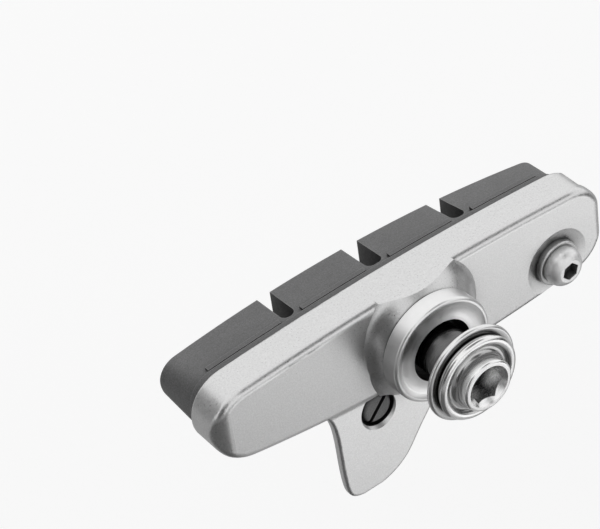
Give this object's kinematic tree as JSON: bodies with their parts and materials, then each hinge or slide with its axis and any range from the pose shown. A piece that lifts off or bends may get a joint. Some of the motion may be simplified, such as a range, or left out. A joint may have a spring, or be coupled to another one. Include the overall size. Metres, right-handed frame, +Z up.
{
  "type": "bicycle rim brake pad",
  "caption": "Cartridge brake shoe: grooved rubber insert in a cast channel, with a flanged hex bolt and dished washers for clamping it to a caliper arm",
  "frame": {"origin": "On the bolt's axis, in the plane of the washer face that bears on the caliper arm", "axes": "X runs along the shoe towards the end with the pad screw, Y points at the rim, Z is up when the brake is fitted"},
  "size_m": [0.0544, 0.0241, 0.0248],
  "materials": {
    "holder_alloy": "fine blasted and anodised",
    "pad_rubber": "moulded matt",
    "screw_steel": "satin",
    "washer_steel": "satin plated",
    "bolt_steel": "polished plate"
  },
  "bodies": {
    "root": {"shoe_holder": "holder_alloy", "pad_insert": "pad_rubber", "pad_screw": "screw_steel", "seat_washer": "washer_steel", "clamp_washer": "washer_steel", "cup_washer": "washer_steel", "fixing_bolt": "bolt_steel"}
  },
  "joints": []
}
